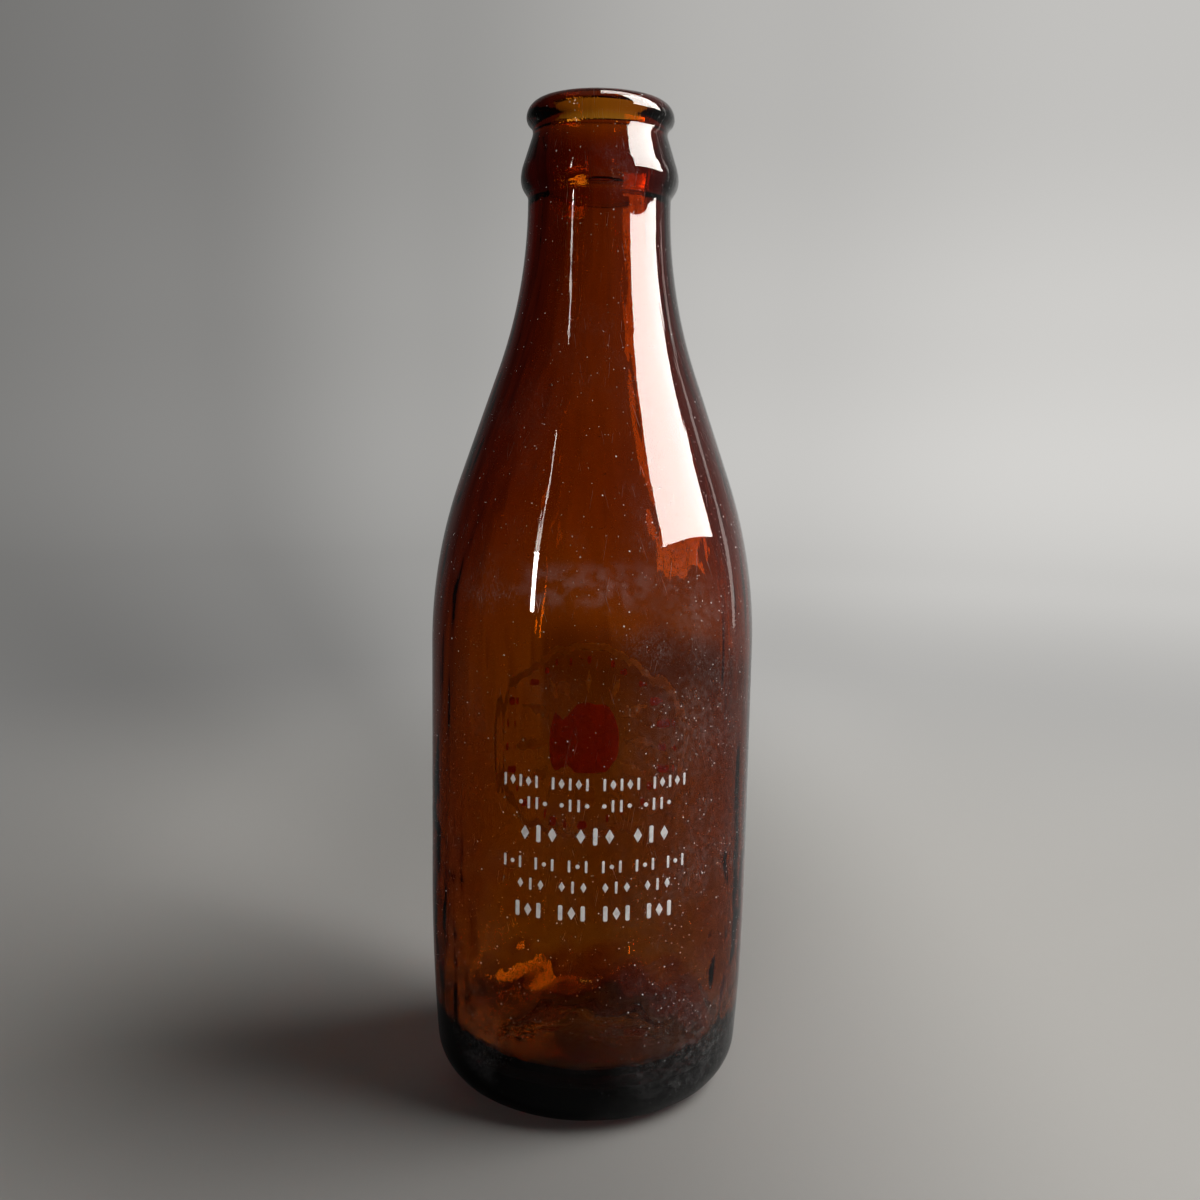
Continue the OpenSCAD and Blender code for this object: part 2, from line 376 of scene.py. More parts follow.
def uneven_inside(piece):
    """Gives the inner wall the slow waves and upright streaks of blown glass, and ripples low down."""
    for name, size, tall, strength, top in unevenness:
        group = piece.vertex_groups.new(name=name)
        for v in piece.data.vertices:
            z = v.co.z / MM
            if z < top and is_inside_wall(v.co):
                weight = min(1.0, (top - z) / uneven_fade)
                if top < bottle_h:
                    rise = (z - ripples_start_h) / (ripples_full_h - ripples_start_h)
                    weight *= max(0.0, min(1.0, rise))
                group.add([v.index], weight, "REPLACE")
        grain = bpy.data.textures.new(name, "CLOUDS")
        grain.noise_scale = size * MM
        grain.noise_depth = 1
        bpy.ops.object.empty_add(location=(0, 0, 0))
        guide = bpy.context.object
        guide.scale = (1, 1, tall)
        bpy.context.view_layer.update()
        wave = piece.modifiers.new(name, "DISPLACE")
        wave.texture = grain
        wave.texture_coords = "OBJECT"
        wave.texture_coords_object = guide
        wave.vertex_group = group.name
        wave.direction = "NORMAL"
        wave.mid_level = 0.5
        wave.strength = strength * MM
        apply_all(piece)
        bpy.data.objects.remove(guide)
        bpy.data.textures.remove(grain)
    piece.vertex_groups.clear()


def is_outside(co):
    """True for a point of the outer wall."""
    return math.hypot(co.x, co.y) / MM > outer_r(co.z / MM) - outer_skin


def bevel_seam():
    """Gives the selected edges the two flanks of a fine ridge."""
    bpy.ops.mesh.bevel(offset=seam_w / 2 * MM, offset_type="OFFSET", segments=2, affect="EDGES")


def mould_seams(piece):
    """Fine upright ridges on both sides, where the halves of the mould met."""
    def on_seam(co):
        return (
            abs(co.y) < on_line * MM and foot_line_h * MM < co.z < (bottle_h - groove_drop) * MM
            and is_outside(co))
    pick(piece, "EDGE", on_seam)
    bevel_seam()
    for way in (1, -1):
        pick(piece, "VERT", lambda co: on_seam(co) and co.x * way > 0)
        bpy.ops.transform.translate(value=(way * seam_out * MM, 0, 0))
    bpy.ops.object.mode_set(mode="OBJECT")


def mould_line(piece, height):
    """A fine ridge right round, where two parts of the mould met at a height."""
    levels = [
        v.co.z for v in piece.data.vertices
        if abs(v.co.y) < on_line * MM and v.co.x > 0 and is_outside(v.co)]
    level = min(levels, key=lambda z: abs(z - height * MM))
    pick(piece, "EDGE", lambda co: abs(co.z - level) < same_point * MM and is_outside(co))
    bevel_seam()
    pick(piece, "VERT", lambda co: abs(co.z - level) < near_level * MM and is_outside(co))
    grow = 1 + seam_out / outer_r(height)
    bpy.ops.transform.resize(value=(grow, grow, 1), center_override=(0, 0, 0))
    bpy.ops.object.mode_set(mode="OBJECT")


def knurl_foot(piece):
    """Small pits, in a checker, pressed into the ring that the bottle stands on."""
    def in_checker(co):
        r = math.hypot(co.x, co.y) / MM
        if co.z > on_line * MM or not foot_c.x - bearing_w < r < foot_c.x:
            return False
        step = math.floor(math.degrees(math.atan2(co.y, co.x)) * turns / 360 + step_slack)
        return (step + (r > foot_c.x - bearing_w / 2)) % 2 == 0
    pick(piece, "FACE", in_checker)
    bpy.ops.mesh.inset(thickness=knurl_edge * MM, use_individual=True)
    bpy.ops.transform.translate(value=(0, 0, knurl_in * MM))
    bpy.ops.object.mode_set(mode="OBJECT")


def chip_foot(piece):
    """A small chip out of the foot's edge, deeper in its middle."""
    def in_chip(co, share):
        return (
            abs(co.x / MM - chip_across) < chip_half_w * share and co.y < 0
            and math.hypot(co.x, co.y) / MM > foot_c.x - chip_edge and co.z / MM < chip_h * share)
    for share in (1.0, chip_core_share):
        pick(piece, "VERT", lambda co: in_chip(co, share))
        bpy.ops.transform.translate(value=(0, chip_in * MM, chip_up * MM))
    bpy.ops.object.mode_set(mode="OBJECT")


glass = draw_glass()
uneven_inside(glass)
knurl_foot(glass)
chip_foot(glass)
mould_line(glass, neck_line_h)
mould_line(glass, foot_line_h)
mould_seams(glass)


# Printed marks

def size_mark(name, width, height):
    """Names the flat outline just added, keeps its turn in its mesh, and gives it its size."""
    mark = name_piece(name)
    bpy.ops.object.transform_apply(location=False, rotation=True, scale=False)
    mark.data.transform(Matrix.Diagonal((width * MM, 1, height * MM, 1)))
    return mark


def flat_mark(name, corners, width, height):
    """A flat outline facing -Y, centred on the origin: a circle with few or many corners."""
    deselect_all()
    bpy.ops.mesh.primitive_circle_add(
        vertices=corners, radius=0.5, fill_type="NGON", location=(0, 0, 0), rotation=(math.pi / 2, 0, 0))
    return size_mark(name, width, height)


def bar_mark(name, width, height):
    """A flat bar facing -Y, centred on the origin."""
    deselect_all()
    bpy.ops.mesh.primitive_plane_add(size=1, location=(0, 0, 0), rotation=(math.pi / 2, 0, 0))
    return size_mark(name, width, height)


def soften_corners(mark, radius, steps):
    """Rounds all corners of a flat outline."""
    pick(mark, "VERT", lambda co: True)
    bpy.ops.mesh.bevel(offset=radius * MM, segments=steps, affect="VERTICES")
    bpy.ops.object.mode_set(mode="OBJECT")


def raise_mark(mark):
    """Turns a flat outline into a low pad of enamel with a rounded brow, its foot sunk into the glass."""
    take_up(mark)
    bpy.ops.object.mode_set(mode="EDIT")
    bpy.ops.mesh.select_mode(type="FACE")
    bpy.ops.mesh.select_all(action="SELECT")
    bpy.ops.transform.translate(value=(0, enamel_sink * MM, 0))
    wall = enamel_t - 2 * enamel_sink
    bpy.ops.mesh.extrude_region_move(TRANSFORM_OT_translate={"value": (0, -wall * MM, 0)})
    bpy.ops.mesh.inset(thickness=brow_in * MM)
    bpy.ops.transform.translate(value=(0, -enamel_sink * MM, 0))
    bpy.ops.mesh.inset(thickness=brow_top_in * MM)
    bpy.ops.mesh.select_mode(type="EDGE")
    bpy.ops.mesh.select_all(action="DESELECT")
    bpy.ops.mesh.select_non_manifold()
    bpy.ops.mesh.edge_face_add()
    bpy.ops.mesh.select_all(action="SELECT")
    bpy.ops.mesh.normals_make_consistent(inside=False)
    bpy.ops.object.mode_set(mode="OBJECT")


def lay_copy(name, piece, place):
    """A copy of a piece with its own mesh, and its place in that mesh."""
    copy = bpy.data.objects.new(name, piece.data.copy())
    bpy.context.scene.collection.objects.link(copy)
    copy.data.transform(place)
    return copy


def join_up(name, laid):
    """Joins copies into one piece."""
    deselect_all()
    for copy in laid:
        copy.select_set(True)
    bpy.context.view_layer.objects.active = laid[0]
    bpy.ops.object.join()
    return name_piece(name)


def lay_row(name, motif, copies, width, height, stroke, row_h):
    """A row of marks round the back: the motif repeats, with a gap between its copies."""
    bar = bar_mark("bar", stroke, height)
    soften_corners(bar, bar_corner * stroke / fine_stroke, 3)
    lozenge = flat_mark("lozenge", 4, height * lozenge_w_share, height * lozenge_h_share)
    soften_corners(lozenge, lozenge_corner, 2)
    spot = flat_mark("spot", 20, height * spot_share, height * spot_share)
    kinds = {"b": bar, "l": lozenge, "s": spot}
    for kind in kinds.values():
        raise_mark(kind)
    cells = " ".join([motif] * copies)
    last = len(cells) - 1
    pitch = math.degrees(width / last / body_r)
    stand = Matrix.Translation((0, -outer_r(row_h) * MM, row_h * MM))
    laid = []
    for i, cell in enumerate(cells):
        if cell in kinds:
            turn = Matrix.Rotation(math.radians(print_turn + (i - last / 2) * pitch), 4, "Z")
            laid.append(lay_copy(name, kinds[cell], turn @ stand))
    for kind in kinds.values():
        bpy.data.objects.remove(kind)
    row = join_up(name, laid)
    bpy.ops.object.shade_smooth_by_angle(angle=math.radians(print_sharp))
    return row


row_1_h = shoulder_h - print_drop
row_2_h = row_1_h - fine_lead
row_3_h = row_2_h - bold_lead
row_4_h = row_3_h - bold_lead
row_5_h = row_4_h - fine_lead
row_6_h = row_5_h - closing_lead
rows = [
    lay_row("print_row_1", "blblb", 4, long_row_w, fine_mark_h, fine_stroke, row_1_h),
    lay_row("print_row_2", "sbbs", 4, short_row_w, fine_mark_h, fine_stroke, row_2_h),
    lay_row("print_row_3", "lbl", 3, bold_row_w, bold_mark_h, bold_stroke, row_3_h),
    lay_row("print_row_4", "bsb", 6, long_row_w, fine_mark_h, fine_stroke, row_4_h),
    lay_row("print_row_5", "lbl", 4, short_row_w, fine_mark_h, fine_stroke, row_5_h),
    lay_row("print_row_6", "blb", 4, closing_row_w, closing_mark_h, bold_stroke, row_6_h),
]


def lay_on_front(piece):
    """Wraps a flat outline on to the front of the glass, and gives it its thickness and a rounded brow."""
    middle_h = shoulder_h - emblem_drop
    take_up(piece)
    piece.data.transform(Matrix.Translation((0, 2 * body_r * MM, middle_h * MM)))
    turn = Matrix.Rotation(math.radians(print_turn), 4, "Z")
    piece.data.transform(turn)
    for v in piece.data.vertices:
        across = (turn.inverted() @ v.co).x
        r = (outer_r(v.co.z / MM) + emblem_rise) * MM
        v.co = turn @ Vector((across, math.sqrt(r * r - across * across), v.co.z))
    thick = piece.modifiers.new("thickness", "SOLIDIFY")
    thick.thickness = emblem_t * MM
    thick.offset = 1
    brow = piece.modifiers.new("brow", "BEVEL")
    brow.width = emblem_brow * MM
    brow.segments = 2
    brow.limit_method = "ANGLE"
    brow.angle_limit = math.radians(brow_sharp)
    apply_all(piece)
    bpy.ops.object.shade_smooth_by_angle(angle=math.radians(print_sharp))


def flat_ring(name, outer, inner, corners, bands=3):
    """A flat ring of quads, facing along Y."""
    deselect_all()
    bpy.ops.mesh.primitive_circle_add(
        vertices=corners, radius=outer * MM, fill_type="NOTHING", location=(0, 0, 0),
        rotation=(-math.pi / 2, 0, 0))
    ring = name_piece(name)
    bpy.ops.object.transform_apply(location=False, rotation=True, scale=False)
    bpy.ops.object.mode_set(mode="EDIT")
    bpy.ops.mesh.select_all(action="SELECT")
    size = outer
    for step in range(1, bands + 1):
        smaller = outer + (inner - outer) * step / bands
        bpy.ops.mesh.extrude_edges_move()
        bpy.ops.transform.resize(value=(smaller / size,) * 3, center_override=(0, 0, 0))
        size = smaller
    bpy.ops.object.mode_set(mode="OBJECT")
    return ring


def face_front(piece):
    """Turns all faces of a flat outline to +Y."""
    pick(piece, "FACE", lambda co: True)
    bpy.ops.mesh.normals_make_consistent(inside=False)
    bpy.ops.object.mode_set(mode="OBJECT")
    if sum(f.normal.y for f in piece.data.polygons) < 0:
        pick(piece, "FACE", lambda co: True)
        bpy.ops.mesh.flip_normals()
        bpy.ops.object.mode_set(mode="OBJECT")


def flat_disc(name, radius, corners, rings):
    """A flat disc of rings of quads round a small middle, facing along Y."""
    inner = radius * disc_inner_share
    disc = flat_ring(name, radius, inner, corners)
    take_up(disc)
    bpy.ops.object.mode_set(mode="EDIT")
    size = inner
    for step in range(1, rings + 1):
        smaller = inner * (rings - step) / rings if step < rings else radius * disc_middle_share
        bpy.ops.mesh.extrude_edges_move()
        bpy.ops.transform.resize(value=(smaller / size,) * 3, center_override=(0, 0, 0))
        size = smaller
    bpy.ops.mesh.edge_face_add()
    bpy.ops.object.mode_set(mode="OBJECT")
    return disc


def round_circle(name, piece, count, radius):
    """Copies of a flat outline round a circle in the plane of X and Z, joined."""
    stand = Matrix.Translation((0, 0, radius * MM))
    laid = [
        lay_copy(name, piece, Matrix.Rotation(2 * math.pi * i / count, 4, "Y") @ stand) for i in range(count)]
    bpy.data.objects.remove(piece)
    return join_up(name, laid)


ring = flat_ring("emblem_ring", emblem_r, emblem_r - emblem_ring_w, 160)
dots = round_circle("emblem_dots", flat_disc("dot", dot_r, 20, 2), dot_count, dot_circle_r)
ray = flat_mark("ray", 4, ray_w, ray_l)
pick(ray, "FACE", lambda co: True)
bpy.ops.mesh.subdivide(number_cuts=5)
bpy.ops.object.mode_set(mode="OBJECT")
rays = round_circle("emblem_rays", ray, ray_count, ray_circle_r - ray_l / 2)
disc = flat_disc("emblem_disc", disc_r, 72, 6)
for piece in (ring, dots, rays, disc):
    face_front(piece)
    lay_on_front(piece)


# Materials: lengths in them are in metres

glass_ior = 1.52
amber_tint = (0.83, 0.60, 0.0, 1)
amber_density = 1150
clean_rough = 0.014
rub_roughens = 0.22
marks_roughen = 0.30

# How much each kind of mark keeps the light from going through the glass
rub_dulls = 0.16
dust_dulls = 0.023
scratch_dulls = 0.05
bloom_dulls = 0.045
speck_dulls = 0.60

# Relief of the glass in millimetres: upright streaks, waves and a fine peel
streak_relief = 0.035
wave_relief = 0.09
peel_relief = 0.0012

# Wear: pairs of a share of the height and an amount
wear_marks = (
    (0.02, 0.30), (0.07, 0.3), (0.16, 0.2), (0.24, 0.15), (0.42, 0.2), (0.49, 0.5), (0.53, 1.0),
    (0.555, 0.3), (0.70, 0.12), (0.90, 0.12), (0.925, 0.6), (0.95, 0.2), (0.985, 0.5))


def new_material(name):
    """A material with only a Principled shader and its output."""
    m = bpy.data.materials.new(name)
    m.use_nodes = True
    nt = m.node_tree
    nt.nodes.clear()
    out = nt.nodes.new("ShaderNodeOutputMaterial")
    skin = nt.nodes.new("ShaderNodeBsdfPrincipled")
    nt.links.new(skin.outputs["BSDF"], out.inputs["Surface"])
    return m, nt, skin, out


def feed(nt, value, socket):
    """Links a socket to another one, or sets it to a number."""
    if isinstance(value, bpy.types.NodeSocket):
        nt.links.new(value, socket)
    else:
        socket.default_value = value


def math_node(nt, kind, a, b=None, c=None):
    """A Math node fed by sockets or numbers."""
    n = nt.nodes.new("ShaderNodeMath")
    n.operation = kind
    for socket, value in zip(n.inputs, (a, b, c)):
        if value is not None:
            feed(nt, value, socket)
    return n.outputs[0]


def times(nt, *values):
    """The product of sockets and numbers, from the first to the last."""
    product = values[0]
    for value in values[1:]:
        product = math_node(nt, "MULTIPLY", product, value)
    return product


def ramp_node(nt, fac, stops, interpolation="LINEAR"):
    """A colour that changes along a value, by pairs of place and colour."""
    n = nt.nodes.new("ShaderNodeValToRGB")
    nt.links.new(fac, n.inputs["Fac"])
    n.color_ramp.interpolation = interpolation
    marks = n.color_ramp.elements
    for mark, (place, colour) in ((marks[0], stops[0]), (marks[1], stops[-1])):
        mark.position, mark.color = place, (*colour, 1)
    for place, colour in stops[1:-1]:
        marks.new(place).color = (*colour, 1)
    return n.outputs["Color"]


def share_ramp(nt, fac, stops, interpolation="LINEAR"):
    """A share that changes along a value, by pairs of place and share."""
    return ramp_node(nt, fac, [(place, (share,) * 3) for place, share in stops], interpolation)


def parts_of(nt, vector):
    """The X, Y and Z of a vector."""
    n = nt.nodes.new("ShaderNodeSeparateXYZ")
    nt.links.new(vector, n.inputs[0])
    return n.outputs["X"], n.outputs["Y"], n.outputs["Z"]


def stretch(nt, vector, across, up):
    """Scales a vector by one number across and another up the bottle."""
    n = nt.nodes.new("ShaderNodeVectorMath")
    n.operation = "MULTIPLY"
    nt.links.new(vector, n.inputs[0])
    n.inputs[1].default_value = (across, across, up)
    return n.outputs[0]


def noise(nt, vector, scale, detail=2.0):
    """Smooth random clouds: a greater scale gives smaller ones."""
    n = nt.nodes.new("ShaderNodeTexNoise")
    nt.links.new(vector, n.inputs["Vector"])
    n.inputs["Scale"].default_value = scale
    n.inputs["Detail"].default_value = detail
    return n.outputs["Fac"]


def between(nt, value, low, high, out_low=0.0, out_high=1.0):
    """A smooth step from one number to another as a value rises from low to high."""
    n = nt.nodes.new("ShaderNodeMapRange")
    n.interpolation_type = "SMOOTHSTEP"
    nt.links.new(value, n.inputs["Value"])
    for name, number in (("From Min", low), ("From Max", high), ("To Min", out_low), ("To Max", out_high)):
        n.inputs[name].default_value = number
    return n.outputs["Result"]


def within(nt, value, rise_from, rise_to, fall_from, fall_to):
    """1 on a stretch of a value and 0 outside it, with a smooth step at both ends."""
    return times(nt, between(nt, value, rise_from, rise_to), between(nt, value, fall_from, fall_to, 1.0, 0.0))


def dots_of(nt, vector, scale, radius):
    """Small round dots strewn at random: 1 in a dot, 0 outside."""
    n = nt.nodes.new("ShaderNodeTexVoronoi")
    nt.links.new(vector, n.inputs["Vector"])
    n.inputs["Scale"].default_value = scale
    return between(nt, n.outputs["Distance"], radius * 0.7, radius, 1.0, 0.0)


def bump(nt, height, depth, under=None):
    """A Bump node whose full height is a depth in millimetres, on top of another one."""
    n = nt.nodes.new("ShaderNodeBump")
    nt.links.new(height, n.inputs["Height"])
    n.inputs["Strength"].default_value = 1.0
    n.inputs["Distance"].default_value = depth * MM
    if under is not None:
        nt.links.new(under, n.inputs["Normal"])
    return n.outputs["Normal"]


def mix_shaders(nt, out, share, first, second):
    """Shows one shader with a share of a second one."""
    n = nt.nodes.new("ShaderNodeMixShader")
    feed(nt, share, n.inputs["Fac"])
    nt.links.new(first.outputs[0], n.inputs[1])
    nt.links.new(second.outputs[0], n.inputs[2])
    nt.links.new(n.outputs["Shader"], out.inputs["Surface"])


def mix_colours(nt, kind, share, first, second):
    """One colour with a share of a second one."""
    n = nt.nodes.new("ShaderNodeMix")
    n.data_type, n.blend_type = "RGBA", kind
    nt.links.new(share, n.inputs["Factor"])
    feed(nt, first, n.inputs["A"])
    feed(nt, second, n.inputs["B"])
    return n.outputs["Result"]


def round_the_axis(nt, place):
    """Unit direction from the axis with the height kept, so a pattern on it runs up the bottle's own lines."""
    flat = stretch(nt, place, 1.0, 0.0)
    unit = nt.nodes.new("ShaderNodeVectorMath")
    unit.operation = "NORMALIZE"
    nt.links.new(flat, unit.inputs[0])
    up = stretch(nt, place, 0.0, 1.0)
    both = nt.nodes.new("ShaderNodeVectorMath")
    both.operation = "ADD"
    nt.links.new(unit.outputs[0], both.inputs[0])
    nt.links.new(up, both.inputs[1])
    return both.outputs[0]


def scratches(nt, on_axis, height, lean, seed):
    """Rare thin straight scratches that lean to one side, as much as the lean says per metre of height."""
    twist = nt.nodes.new("ShaderNodeVectorRotate")
    twist.rotation_type = "Z_AXIS"
    nt.links.new(on_axis, twist.inputs["Vector"])
    nt.links.new(math_node(nt, "MULTIPLY_ADD", height, lean, seed), twist.inputs["Angle"])
    return between(nt, noise(nt, stretch(nt, twist.outputs[0], 1.0, 0.8), 230.0, 0.0), 0.83, 0.87)


def wear_by_height(nt, height):
    """How much the glass rubs on its neighbours at each height: most at the shoulder's foot."""
    return share_ramp(nt, math_node(nt, "DIVIDE", height, bottle_h * MM), wear_marks)


def amber_glass():
    """Clear dark amber, wavy along its height, with the fine marks of a bottle that was used many times:
    rubbed patches, leaning scratches, specks, dust on its right side and a milky bloom over the back print."""
    m, nt, skin, out = new_material("dark amber glass")
    skin.inputs["Base Color"].default_value = (1, 1, 1, 1)
    skin.inputs["IOR"].default_value = glass_ior
    skin.inputs["Transmission Weight"].default_value = 1
    place = nt.nodes.new("ShaderNodeTexCoord").outputs["Object"]
    x, y, height = parts_of(nt, place)
    on_axis = round_the_axis(nt, place)

    patches = between(nt, noise(nt, place, 75.0, 5.0), 0.50, 0.72)
    fine = between(nt, noise(nt, stretch(nt, on_axis, 1.0, 12.0), 170.0, 3.0), 0.48, 0.66)
    rubbed = times(nt, wear_by_height(nt, height), times(nt, patches, fine))

    dusty = times(
        nt, between(nt, x, 0.002, 0.022), between(nt, y, -0.004, 0.010, 1.0, 0.2),
        between(nt, height, 0.113, 0.101, 0.25, 1.0),
        between(nt, noise(nt, place, 45.0, 8.0), 0.40, 0.66, 0.15, 1.3),
        between(nt, noise(nt, place, 900.0, 2.0), 0.40, 0.70, 0.35, 1.6))
    bloom = times(
        nt, within(nt, x, -0.015, -0.008, 0.004, 0.014), between(nt, y, -0.020, -0.026),
        within(nt, height, 0.0925, 0.0965, 0.0985, 0.1025),
        between(nt, noise(nt, place, 420.0, 8.0), 0.42, 0.62, 0.05, 1.0))

    lines = math_node(
        nt, "MAXIMUM", scratches(nt, on_axis, height, 11.0, 0.0), scratches(nt, on_axis, height, -6.0, 2.0))
    lines = times(nt, lines, between(nt, height, 0.015, 0.045, 0.25, 1.0))
    specks = math_node(nt, "MAXIMUM", dots_of(nt, place, 330.0, 0.055), dots_of(nt, place, 800.0, 0.075))
    grains = times(nt, dots_of(nt, place, 1000.0, 0.14), between(nt, dusty, 0.15, 0.6))
    specks = math_node(nt, "MAXIMUM", specks, grains)
    specks = times(nt, specks, between(nt, height, 0.010, 0.030, 0.2, 1.0))

    rough = math_node(nt, "MULTIPLY_ADD", rubbed, rub_roughens, clean_rough)
    rough = math_node(nt, "MULTIPLY_ADD", math_node(nt, "MAXIMUM", lines, specks), marks_roughen, rough)
    nt.links.new(rough, skin.inputs["Roughness"])
    dull = times(nt, rubbed, rub_dulls)
    for mark, share in (
            (dusty, dust_dulls), (lines, scratch_dulls), (bloom, bloom_dulls), (specks, speck_dulls)):
        dull = math_node(nt, "MULTIPLY_ADD", mark, share, dull)
    nt.links.new(math_node(nt, "SUBTRACT", 1.0, dull), skin.inputs["Transmission Weight"])
    normal = None
    for wave, relief in (
            (noise(nt, stretch(nt, on_axis, 1.0, 2.2), 11.0), streak_relief),
            (noise(nt, stretch(nt, place, 1.0, 0.35), 95.0, 1.0), wave_relief),
            (noise(nt, place, 1300.0, 2.0), peel_relief)):
        normal = bump(nt, wave, relief, normal)
    nt.links.new(normal, skin.inputs["Normal"])

    depth = nt.nodes.new("ShaderNodeVolumeAbsorption")
    depth.inputs["Color"].default_value = amber_tint
    depth.inputs["Density"].default_value = amber_density
    nt.links.new(depth.outputs["Volume"], out.inputs["Volume"])
    return m


def enamel(name, light, dark, share, inner_share=None):
    """Fired enamel: satin, a little uneven in coat, and thin enough for a share of the light to come through.
    The face that lies on the glass can let through another share than the one that is seen from outside."""
    m, nt, skin, out = new_material(name)
    place = nt.nodes.new("ShaderNodeTexCoord").outputs["Object"]
    coat = ramp_node(nt, noise(nt, place, 900.0, 3.0), [(0.32, dark), (0.52, light)])
    nt.links.new(coat, skin.inputs["Base Color"])
    grain = noise(nt, place, 3800.0, 2.0)
    nt.links.new(between(nt, grain, 0.3, 0.7, 0.32, 0.52), skin.inputs["Roughness"])
    nt.links.new(bump(nt, grain, 0.01), skin.inputs["Normal"])
    through = nt.nodes.new("ShaderNodeBsdfTranslucent")
    nt.links.new(coat, through.inputs["Color"])
    if inner_share is not None:
        reach = nt.nodes.new("ShaderNodeVectorMath")
        reach.operation = "LENGTH"
        nt.links.new(stretch(nt, place, 1.0, 0.0), reach.inputs[0])
        inner, outer = body_r + emblem_rise, body_r + emblem_rise + emblem_t
        share = between(
            nt, reach.outputs["Value"], (inner + on_line) * MM, (outer - on_line) * MM, inner_share, share)
    mix_shaders(nt, out, share, skin, through)
    return m


def cover(piece, material):
    """Gives a piece one material all over."""
    piece.data.materials.clear()
    piece.data.materials.append(material)


cover(glass, amber_glass())
white = enamel("white fired enamel", (0.84, 0.83, 0.83), (0.66, 0.64, 0.64), 0.22)
thin_white = enamel("thin white fired enamel", (0.84, 0.82, 0.80), (0.70, 0.67, 0.64), 0.50, 0.94)
red = enamel("orange-red fired enamel", (0.80, 0.28, 0.04), (0.66, 0.21, 0.03), 0.50, 0.92)
for piece in rows:
    cover(piece, white)
for piece in (ring, rays):
    cover(piece, thin_white)
for piece in (dots, disc):
    cover(piece, red)

take_up(glass)
bpy.ops.object.shade_smooth_by_angle(angle=math.radians(glass_sharp))

# Which piece stands for which part of the frame
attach(glass, "root")
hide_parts("glass_bottle")
for number, piece in enumerate(rows, 1):
    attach(piece, "root")
    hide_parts(f"back_row_{number}")
for piece, node, slot in (
        (ring, "front_ring", "white_enamel"), (dots, "front_dots", "red_enamel"),
        (rays, "front_rays", "white_enamel"), (disc, "front_disc", "red_enamel")):
    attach(piece, "root")
    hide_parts(node)


# Studio: a pale round sweep, a tall soft window light on the right, a slim one on the left

# Paper: its tint, and its painted light and painted reflection tones by pairs of place and tone
paper_tint = (1.0, 0.985, 0.955)
paper_rough = 0.8
bright_azimuth = 146.6
seen_painted_light_tones = (
    (0.0, 0.36), (0.50, 0.27), (0.70, 0.20), (0.80, 0.25), (0.87, 0.37), (0.955, 0.57), (0.995, 0.66))
mirrored_painted_reflection_tones = (
    (0.0, 0.40), (0.03, 0.14), (0.06, 0.15), (0.10, 0.09), (0.16, 0.015), (0.37, 0.004), (0.50, 0.006),
    (0.63, 0.06), (0.76, 0.16), (0.84, 0.26), (0.92, 0.50), (1.0, 0.50))
climb_painted_light_tones = ((0.15, 0.84), (0.30, 0.88), (0.53, 1.0), (0.68, 0.94), (0.88, 0.82))
climb_l = 3.0
# How much the painted shade on the right darkens the glow
near_right_painted_shade_dark = 0.22

# Painted shadow: the patch below stands in for the bottle's own shadow on the paper behind it.
# Dark patch that the glass shows of the paper behind it. It lies still on the paper, and widens like a fan from
# below the place of the photograph's camera, by pairs of a slope to the side and an amount.
fan_point = 0.235
fan_left, fan_w = -0.2, 0.9
fan_painted_shadow_amounts = (
    (-0.15, 0.0), (-0.11, 0.06), (-0.08, 0.50), (-0.05, 0.96), (0.0, 1.0), (0.22, 1.0), (0.36, 0.80),
    (0.68, 0.0))
fan_painted_shadow_dark = 0.67
fan_painted_shadow_tint = (1.0, 0.74, 0.74, 1.0)

# Sweep: reach of its floor, radius of its bend, and place of its rim
sweep_floor_r = 1100
sweep_bend_r = 900
sweep_rim = (2000, 3200)
sweep_turns = 96

# Lamps
window_azimuth = 53.7
window_aside = 492
window_light = (1.0, 0.945, 0.89)
gap_azimuth = -41
right_gap_azimuth = 117
air_light = 0.06

# Camera: place in millimetres, tilt and roll in degrees
camera_place = (1.33, -235, 123.7)
camera_down = 7.8
camera_roll = 0.97
camera_lens = 37.8


def tone_ramp(nt, fac, stops):
    """A plain, slightly warm grey that changes along a value, by pairs of place and tone."""
    return ramp_node(nt, fac, [(place, tuple(tone * c for c in paper_tint)) for place, tone in stops], "EASE")


def toward_side(nt, x, y, reach, azimuth):
    """From 0 to 1 as a place on the sweep turns towards an azimuth."""
    a = math.radians(azimuth)
    along = math_node(nt, "ADD", times(nt, x, math.sin(a)), times(nt, y, -math.cos(a)))
    return math_node(nt, "MULTIPLY_ADD", math_node(nt, "DIVIDE", along, reach), 0.5, 0.5)


def round_share(nt, x, y):
    """From 0 to 1 all round the sweep: 0.25 on the left, 0.5 on the camera's side, 0.75 on the right."""
    turn = math_node(nt, "ARCTAN2", x, times(nt, y, -1.0))
    return math_node(nt, "MULTIPLY_ADD", turn, 0.5 / math.pi, 0.5)


def fan_painted_shadow(nt, x, y, reach):
    """A fan-shaped painted shadow that lies fixed on the sweep behind the bottle: 1 in it, 0 outside."""
    slope = math_node(nt, "DIVIDE", x, math_node(nt, "ADD", y, fan_point))
    fan = share_ramp(
        nt, math_node(nt, "MULTIPLY_ADD", slope, 1 / fan_w, -fan_left / fan_w),
        [((place - fan_left) / fan_w, amount) for place, amount in fan_painted_shadow_amounts])
    return times(nt, fan, between(nt, y, 0.03, 0.09), between(nt, reach, 0.40, 0.95, 1.0, 0.0))


